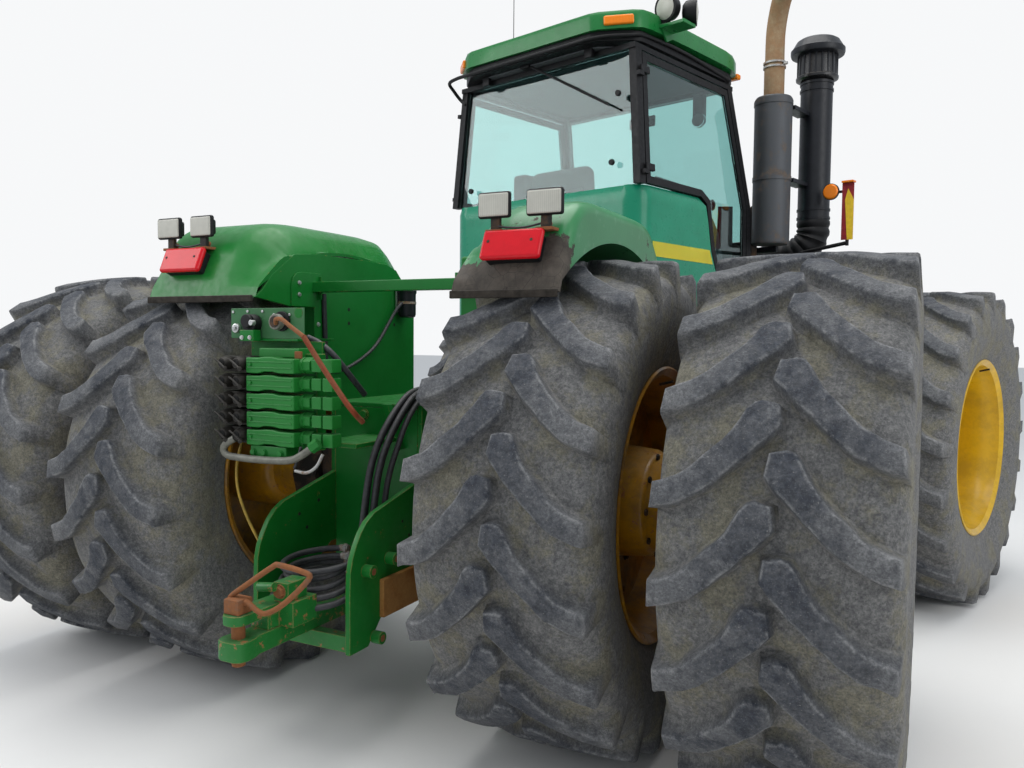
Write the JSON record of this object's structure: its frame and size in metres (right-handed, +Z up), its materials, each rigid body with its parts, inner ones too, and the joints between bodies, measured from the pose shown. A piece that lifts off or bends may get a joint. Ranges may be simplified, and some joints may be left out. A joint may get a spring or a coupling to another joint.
{
  "type": "farm tractor",
  "caption": "Articulated four-wheel-drive farm tractor on eight tall twin tyres, with a glazed cab, upright stacks, rear drawbar and remote valves.",
  "frame": {"origin": "centre of the bounding box, on the ground", "axes": "+X to the right of the rear half, +Y ahead along the rear half, +Z up; the front half stands turned 15.7 degrees to the right"},
  "size_m": [5.1015, 6.5776, 4.181],
  "materials": {
    "green_paint": "semi-gloss",
    "yellow_paint": "semi-gloss",
    "tyre": "matt",
    "black_plastic": "matt",
    "rusty_steel": "rough",
    "steel_rod": "polished",
    "tinted_glass": "tinted",
    "lamp_red": "gloss",
    "grey_metal": "worn",
    "white_filter": "semi-gloss",
    "seat_fabric": "matt"
  },
  "bodies": {
    "rear_half": {"rear_frame": "green_paint", "rear_axle": "green_paint", "drawbar": "rusty_steel", "hitch_pin": "rusty_steel", "fender_left": "green_paint", "fender_right": "green_paint", "fender_bar": "green_paint", "valve_stack": "green_paint", "connector_plate": "grey_metal", "rear_lamps": "lamp_red", "fuel_filter": "white_filter"},
    "hinge_casting": {"hinge_casting": "green_paint"},
    "front_half": {"front_frame": "green_paint", "front_axle": "green_paint", "engine": "grey_metal", "hood": "green_paint", "hood_side_left": "green_paint", "hood_side_right": "green_paint", "bulkhead": "green_paint", "grille": "black_plastic", "cab_base": "green_paint", "cab_posts": "green_paint", "cab_roof": "green_paint", "cab_glass": "tinted_glass", "seat": "seat_fabric", "console": "black_plastic", "exhaust": "grey_metal", "intake": "black_plastic"},
    "steer_barrel_left": {"steer_barrel_left": "green_paint"},
    "steer_rod_left": {"steer_rod_left": "steel_rod"},
    "door_left": {"door_left": "black_plastic", "door_glass_left": "tinted_glass"},
    "wheels_rear_left": {"tyres_rear_left": "tyre", "wheels_rear_left": "yellow_paint"},
    "wheels_front_left": {"tyres_front_left": "tyre", "wheels_front_left": "yellow_paint"},
    "steer_barrel_right": {"steer_barrel_right": "green_paint"},
    "steer_rod_right": {"steer_rod_right": "steel_rod"},
    "door_right": {"door_right": "black_plastic", "door_glass_right": "tinted_glass"},
    "wheels_rear_right": {"tyres_rear_right": "tyre", "wheels_rear_right": "yellow_paint"},
    "wheels_front_right": {"tyres_front_right": "tyre", "wheels_front_right": "yellow_paint"}
  },
  "joints": [
    {"name": "oscillation", "type": "hinge", "parent": "rear_half", "child": "hinge_casting", "pos_m": [-0.329, -0.972, 1.03], "axis": [0, 1, 0], "range_deg": [-11, 11]},
    {"name": "articulation", "type": "hinge", "parent": "hinge_casting", "child": "front_half", "pos_m": [-0.329, -0.3295, 1.03], "axis": [0, 0, 1], "range_deg": [-19.3, 50.7]},
    {"name": "steer_swing_left", "type": "hinge", "parent": "hinge_casting", "child": "steer_barrel_left", "pos_m": [-0.584, -0.3895, 1.03], "axis": [0, 0, 1], "range_deg": [-18.4, 48]},
    {"name": "steer_stroke_left", "type": "slide", "parent": "steer_barrel_left", "child": "steer_rod_left", "axis": [0.2346, 0.9721, 0], "range_m": [-0.224, 0.086]},
    {"name": "steer_swing_right", "type": "hinge", "parent": "hinge_casting", "child": "steer_barrel_right", "pos_m": [-0.074, -0.3895, 1.03], "axis": [0, 0, 1], "range_deg": [-18, 46.9]},
    {"name": "steer_stroke_right", "type": "slide", "parent": "steer_barrel_right", "child": "steer_rod_right", "axis": [0.2682, 0.9634, 0], "range_m": [-0.085, 0.221]},
    {"name": "roll_rear_left", "type": "hinge", "parent": "rear_half", "child": "wheels_rear_left", "pos_m": [-1.229, -2.082, 1.03], "axis": [1, 0, 0], "continuous": true},
    {"name": "roll_rear_right", "type": "hinge", "parent": "rear_half", "child": "wheels_rear_right", "pos_m": [0.571, -2.082, 1.03], "axis": [1, 0, 0], "continuous": true},
    {"name": "roll_front_left", "type": "hinge", "parent": "front_half", "child": "wheels_front_left", "pos_m": [-0.7212, 1.60116, 1.03], "axis": [0.9627, -0.2706, 0], "continuous": true},
    {"name": "roll_front_right", "type": "hinge", "parent": "front_half", "child": "wheels_front_right", "pos_m": [1.01165, 1.11408, 1.03], "axis": [0.9627, -0.2706, 0], "continuous": true},
    {"name": "door_left", "type": "hinge", "parent": "front_half", "child": "door_left", "pos_m": [-1.14887, -0.26992, 2.74083], "axis": [0.0822, -0.0231, 0.9963], "range_deg": [0, 75]},
    {"name": "door_right", "type": "hinge", "parent": "front_half", "child": "door_right", "pos_m": [0.40185, -0.70581, 2.74083], "axis": [0.0822, -0.0231, -0.9963], "range_deg": [0, 75]}
  ],
  "couplings": [
    {"joint": "steer_swing_left", "follows": "articulation", "ratio": 0.9438},
    {"joint": "steer_stroke_left", "follows": "articulation", "m_per_rad": -0.2511},
    {"joint": "steer_swing_right", "follows": "articulation", "ratio": 0.9227},
    {"joint": "steer_stroke_right", "follows": "articulation", "m_per_rad": 0.2479}
  ]
}
